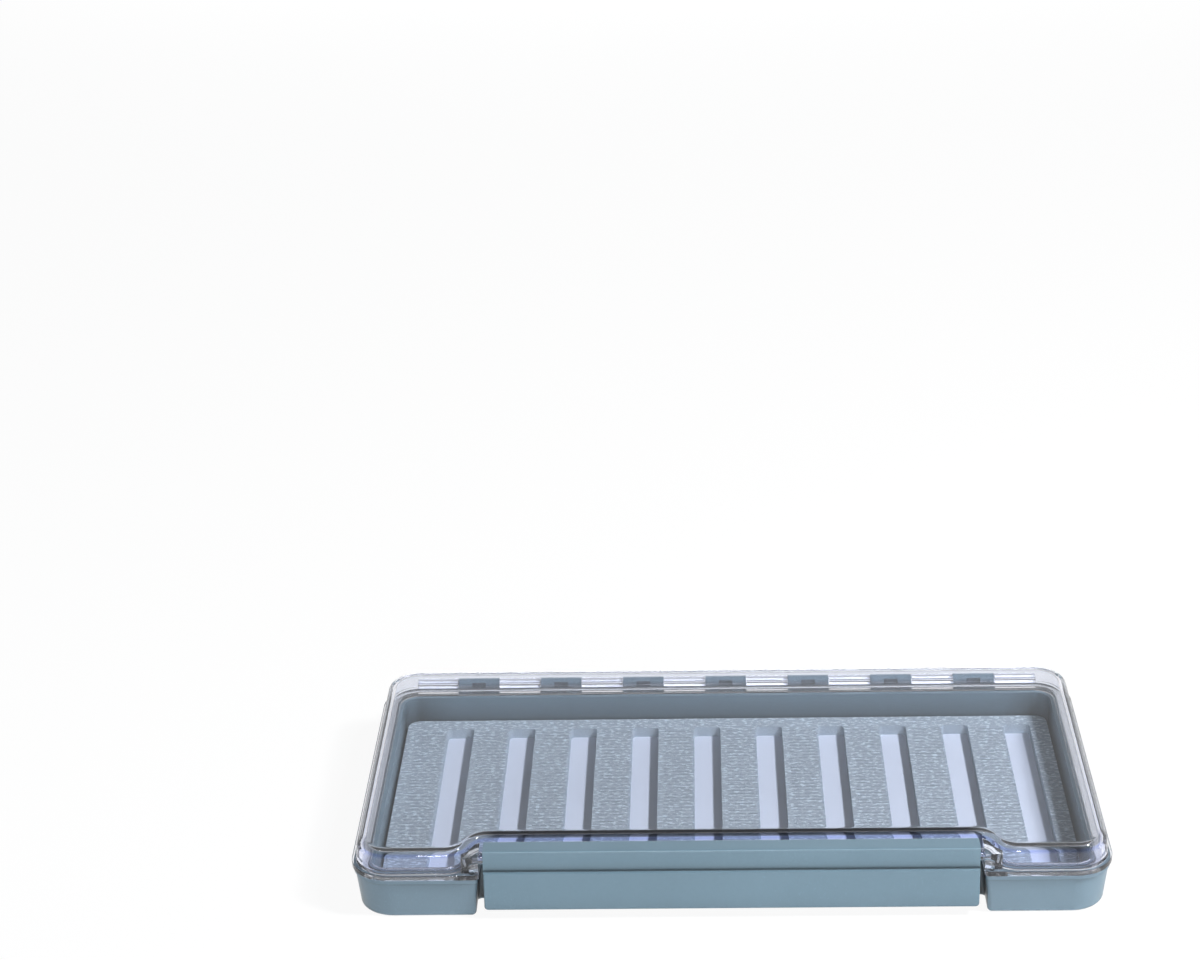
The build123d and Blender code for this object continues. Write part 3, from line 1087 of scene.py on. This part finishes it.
@dataclass(frozen=True)
class Lamp:
    """A rectangular soft lamp that faces the case, its angles in degrees and its power in watts."""

    name: str
    turn: float
    height: float
    distance: float
    size: tuple[float, float]
    power: float

    def build(self) -> None:
        """Hangs the lamp at its turn about the case, from the front, and its height over the table."""
        light = bpy.data.lights.new(f"lamp_{self.name}", "AREA")
        light.shape = "RECTANGLE"
        light.size, light.size_y = self.size
        light.energy = self.power
        lamp = add_object(light.name, light)
        lamp.visible_camera = False
        lamp.visible_transmission = False
        turn, height = math.radians(self.turn), math.radians(self.height)
        flat = math.cos(height)
        away = Vector((math.sin(turn) * flat, -math.cos(turn) * flat, math.sin(height)))
        lamp.location = away * self.distance
        lamp.rotation_euler = away.to_track_quat("Z", "Y").to_euler()


@dataclass
class Studio:
    """Floor, lamps, surroundings and camera."""

    floor_side: float = 8.0
    floor_glow: float = 0.93
    ambient: float = 0.12
    ambient_tint: Colour = (0.78, 0.88, 1.0)
    overhead: float = 0.18
    overhead_ends: Band = (0.2, 0.42)
    front: float = 0.25
    front_ends: Band = (-0.3, 0.1)
    paper: Colour = (0.9, 0.9, 0.9)
    unbounced: float = 0.5
    lamps: tuple[Lamp, ...] = (
        Lamp("right", 68.0, 49.0, 0.9, (0.09, 0.09), 11.4),
        Lamp("left", -62.0, 57.0, 0.9, (0.12, 0.12), 0.35),
        Lamp("front", 0.0, 14.0, 1.2, (0.4, 0.16), 7.3),
        Lamp("back", 180.0, 10.0, 1.2, (0.9, 0.16), 3.0),
    )
    camera_place: Vector = Vector((-0.0067, -0.6883, 0.3947))
    camera_turn: Triple = (66.622, 1.329, 1.342)
    lens: float = 84.3
    shift: Band = (-0.0120, 0.0123)

    def seen(self, canvas: Canvas) -> Socket:
        """Picks the rays that show a surface to the camera, straight, mirrored or through the lid.

        Args:
            canvas: the nodes of the surface or the world.

        Returns:
            1 for such rays, 0 for all others.
        """
        path = canvas.add("LightPath")
        first = canvas.math("MAXIMUM", path.outputs["Is Camera Ray"], path.outputs["Is Glossy Ray"])
        shown = canvas.math("MAXIMUM", first, path.outputs["Is Transmission Ray"])
        direct = canvas.math("LESS_THAN", path.outputs["Diffuse Depth"], self.unbounced)
        return canvas.times(shown, direct)

    def surroundings(self) -> None:
        """White to the camera and low down behind, darker overhead and in front, dim as a source of light."""
        world = bpy.data.worlds.new("surroundings")
        world.use_nodes = True
        world.node_tree.nodes.clear()
        canvas = Canvas(world.node_tree)
        background = canvas.add("Background")
        output = canvas.add("OutputWorld")
        canvas.feed(output.inputs["Surface"], background.outputs["Background"])
        _, depth, height = canvas.axes(canvas.add("TexCoord").outputs["Generated"])
        overhead = canvas.span(height, self.overhead_ends, (1.0, self.overhead))
        behind = canvas.span(depth, self.front_ends, (self.front, 1.0))
        camera = canvas.add("LightPath").outputs["Is Camera Ray"]
        mirrored = canvas.math("MAXIMUM", camera, canvas.times(overhead, behind))
        seen = self.seen(canvas)
        strength = canvas.add("Mix", data_type="FLOAT")
        canvas.feed(strength.inputs["Factor"], seen)
        canvas.feed(strength.inputs["A"], self.ambient)
        canvas.feed(strength.inputs["B"], mirrored)
        canvas.feed(background.inputs["Strength"], strength.outputs["Result"])
        canvas.feed(background.inputs["Color"], canvas.mix(seen, self.ambient_tint, WHITE))
        bpy.context.scene.world = world

    def floor(self) -> None:
        """A pale plane that keeps the case's shadow."""
        bm = bmesh.new()
        bmesh.ops.create_grid(bm, x_segments=1, y_segments=1, size=self.floor_side / 2)
        mesh = bpy.data.meshes.new("floor")
        bm.to_mesh(mesh)
        bm.free()
        floor = add_object("floor", mesh)
        canvas, material = bare_material("floor_paper")
        paper = canvas.add("BsdfDiffuse")
        paper.inputs["Color"].default_value = (*self.paper, 1.0)
        glow = canvas.add("Emission")
        glow.inputs["Color"].default_value = (*WHITE, 1.0)
        choose = canvas.add("MixShader")
        canvas.feed(choose.inputs["Fac"], canvas.times(self.seen(canvas), self.floor_glow))
        canvas.feed(choose.inputs[1], paper.outputs["BSDF"])
        canvas.feed(choose.inputs[2], glow.outputs["Emission"])
        canvas.feed(canvas.add("OutputMaterial").inputs["Surface"], choose.outputs["Shader"])
        mesh.materials.append(material)

    def camera(self) -> None:
        """The camera, level with a person who looks down at a table."""
        data = bpy.data.cameras.new("camera")
        data.lens = self.lens
        data.shift_x, data.shift_y = self.shift
        camera = add_object("camera", data)
        camera.location = self.camera_place
        camera.rotation_euler = [math.radians(turn) for turn in self.camera_turn]
        bpy.context.scene.camera = camera

    def build(self) -> None:
        """Sets up the whole studio."""
        bpy.context.scene.view_settings.view_transform = "Standard"
        self.surroundings()
        self.floor()
        for lamp in self.lamps:
            lamp.build()
        self.camera()
        LOG.info("studio ready")


def main() -> None:
    """Builds the case and the studio."""
    logging.basicConfig(level=logging.INFO, format="%(name)s: %(message)s")
    for part in (Studio(), Tray(), FoamBed(), Hinge(), Lid(), Latch()):
        part.build()


if __name__ == "__main__":
    main()
